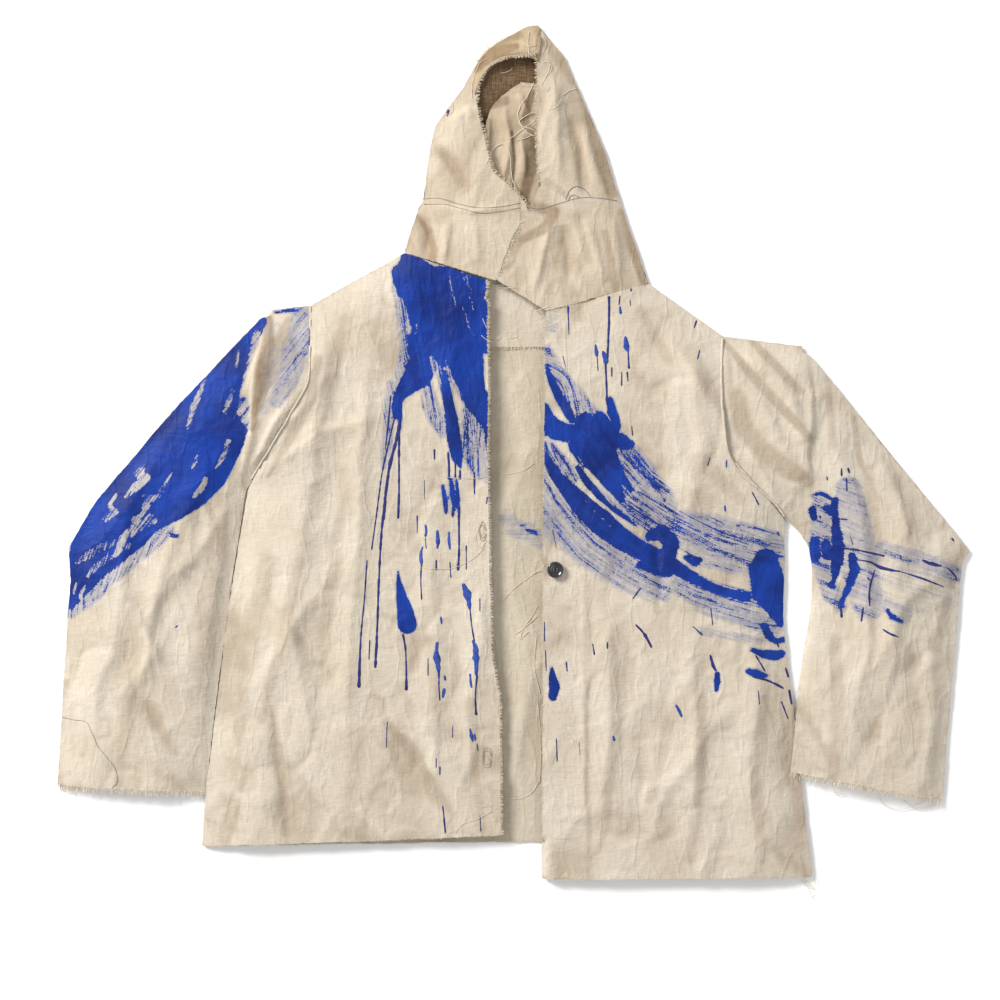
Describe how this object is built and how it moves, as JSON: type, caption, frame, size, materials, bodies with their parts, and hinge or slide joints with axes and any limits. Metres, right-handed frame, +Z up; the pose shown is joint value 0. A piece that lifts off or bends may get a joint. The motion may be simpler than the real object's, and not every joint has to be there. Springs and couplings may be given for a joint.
{
  "type": "painter's smock jacket",
  "caption": "Hooded painter's smock jacket of raw natural canvas with blue brushwork, laid flat with its front open; sleeves, fronts and hood fold.",
  "frame": {"origin": "middle of the flat-laid smock's footprint, on the table under its back", "axes": "+X to the wearer's left, +Y towards the hood, +Z up out of the front"},
  "size_m": [1.0062, 0.94, 0.0174],
  "materials": {
    "canvas": "natural unbleached cotton canvas, matte, plain weave",
    "painted_canvas": "the same canvas with dry-brushed cobalt blue paint and drips",
    "canvas_inside": "inner face of the canvas, shaded",
    "thread_navy": "dark blue sewing thread",
    "thread_cream": "cream sewing thread",
    "button_black": "polished black"
  },
  "bodies": {
    "torso": {"back_panel": "canvas", "back_neck_facing": "canvas_inside", "front_panel_right": "painted_canvas", "front_panel_left": "painted_canvas", "sleeve_cap_right_front": "painted_canvas", "sleeve_cap_right_back": "canvas", "sleeve_cap_left_front": "canvas", "sleeve_cap_left_back": "canvas", "hood_band_right": "canvas", "hood_band_left": "canvas", "hood_band_back": "canvas", "hood_stitching_right": "thread_navy", "hood_stitching_left": "thread_navy"},
    "front_right": {"lapel_right": "painted_canvas", "buttonhole_upper": "thread_cream", "buttonhole_lower": "thread_cream"},
    "front_left": {"lapel_left": "painted_canvas", "front_facing_left": "canvas_inside"},
    "sleeve_right": {"sleeve_right_front": "painted_canvas", "sleeve_right_back": "canvas"},
    "sleeve_left": {"sleeve_left_front": "painted_canvas", "sleeve_left_back": "canvas"},
    "hood": {"hood_side_right": "canvas", "hood_side_left": "canvas", "hood_back": "canvas_inside", "hood_inner_fold": "canvas_inside", "hood_crown_seam": "canvas"},
    "button": {"button": "button_black", "button_thread": "thread_cream"}
  },
  "joints": [
    {"name": "front_right_fold", "type": "hinge", "parent": "torso", "child": "front_right", "pos_m": [-0.02824, 0.189, 0.0116], "axis": [-0.1881, -0.9821, 0], "range_deg": [0, 160]},
    {"name": "front_left_fold", "type": "hinge", "parent": "torso", "child": "front_left", "pos_m": [0.03486, 0.155, 0.0116], "axis": [-0.1904, 0.9817, 0], "range_deg": [0, 160]},
    {"name": "sleeve_right_fold", "type": "hinge", "parent": "torso", "child": "sleeve_right", "pos_m": [-0.26814, 0.157, 0.0116], "axis": [0.1343, 0.9909, 0], "range_deg": [0, 95]},
    {"name": "sleeve_left_fold", "type": "hinge", "parent": "torso", "child": "sleeve_left", "pos_m": [0.31886, 0.117, 0.0116], "axis": [-0.0298, -0.9996, 0], "range_deg": [0, 95]},
    {"name": "hood_fold", "type": "hinge", "parent": "torso", "child": "hood", "pos_m": [0.00736, 0.268, 0.0116], "axis": [1, 0, 0], "range_deg": [0, 150]},
    {"name": "button_tilt", "type": "hinge", "parent": "front_left", "child": "button", "pos_m": [0.04586, -0.129, 0.0128], "axis": [0, 1, 0], "range_deg": [-15, 15], "stiffness_Nm_per_rad": 0.0006}
  ]
}
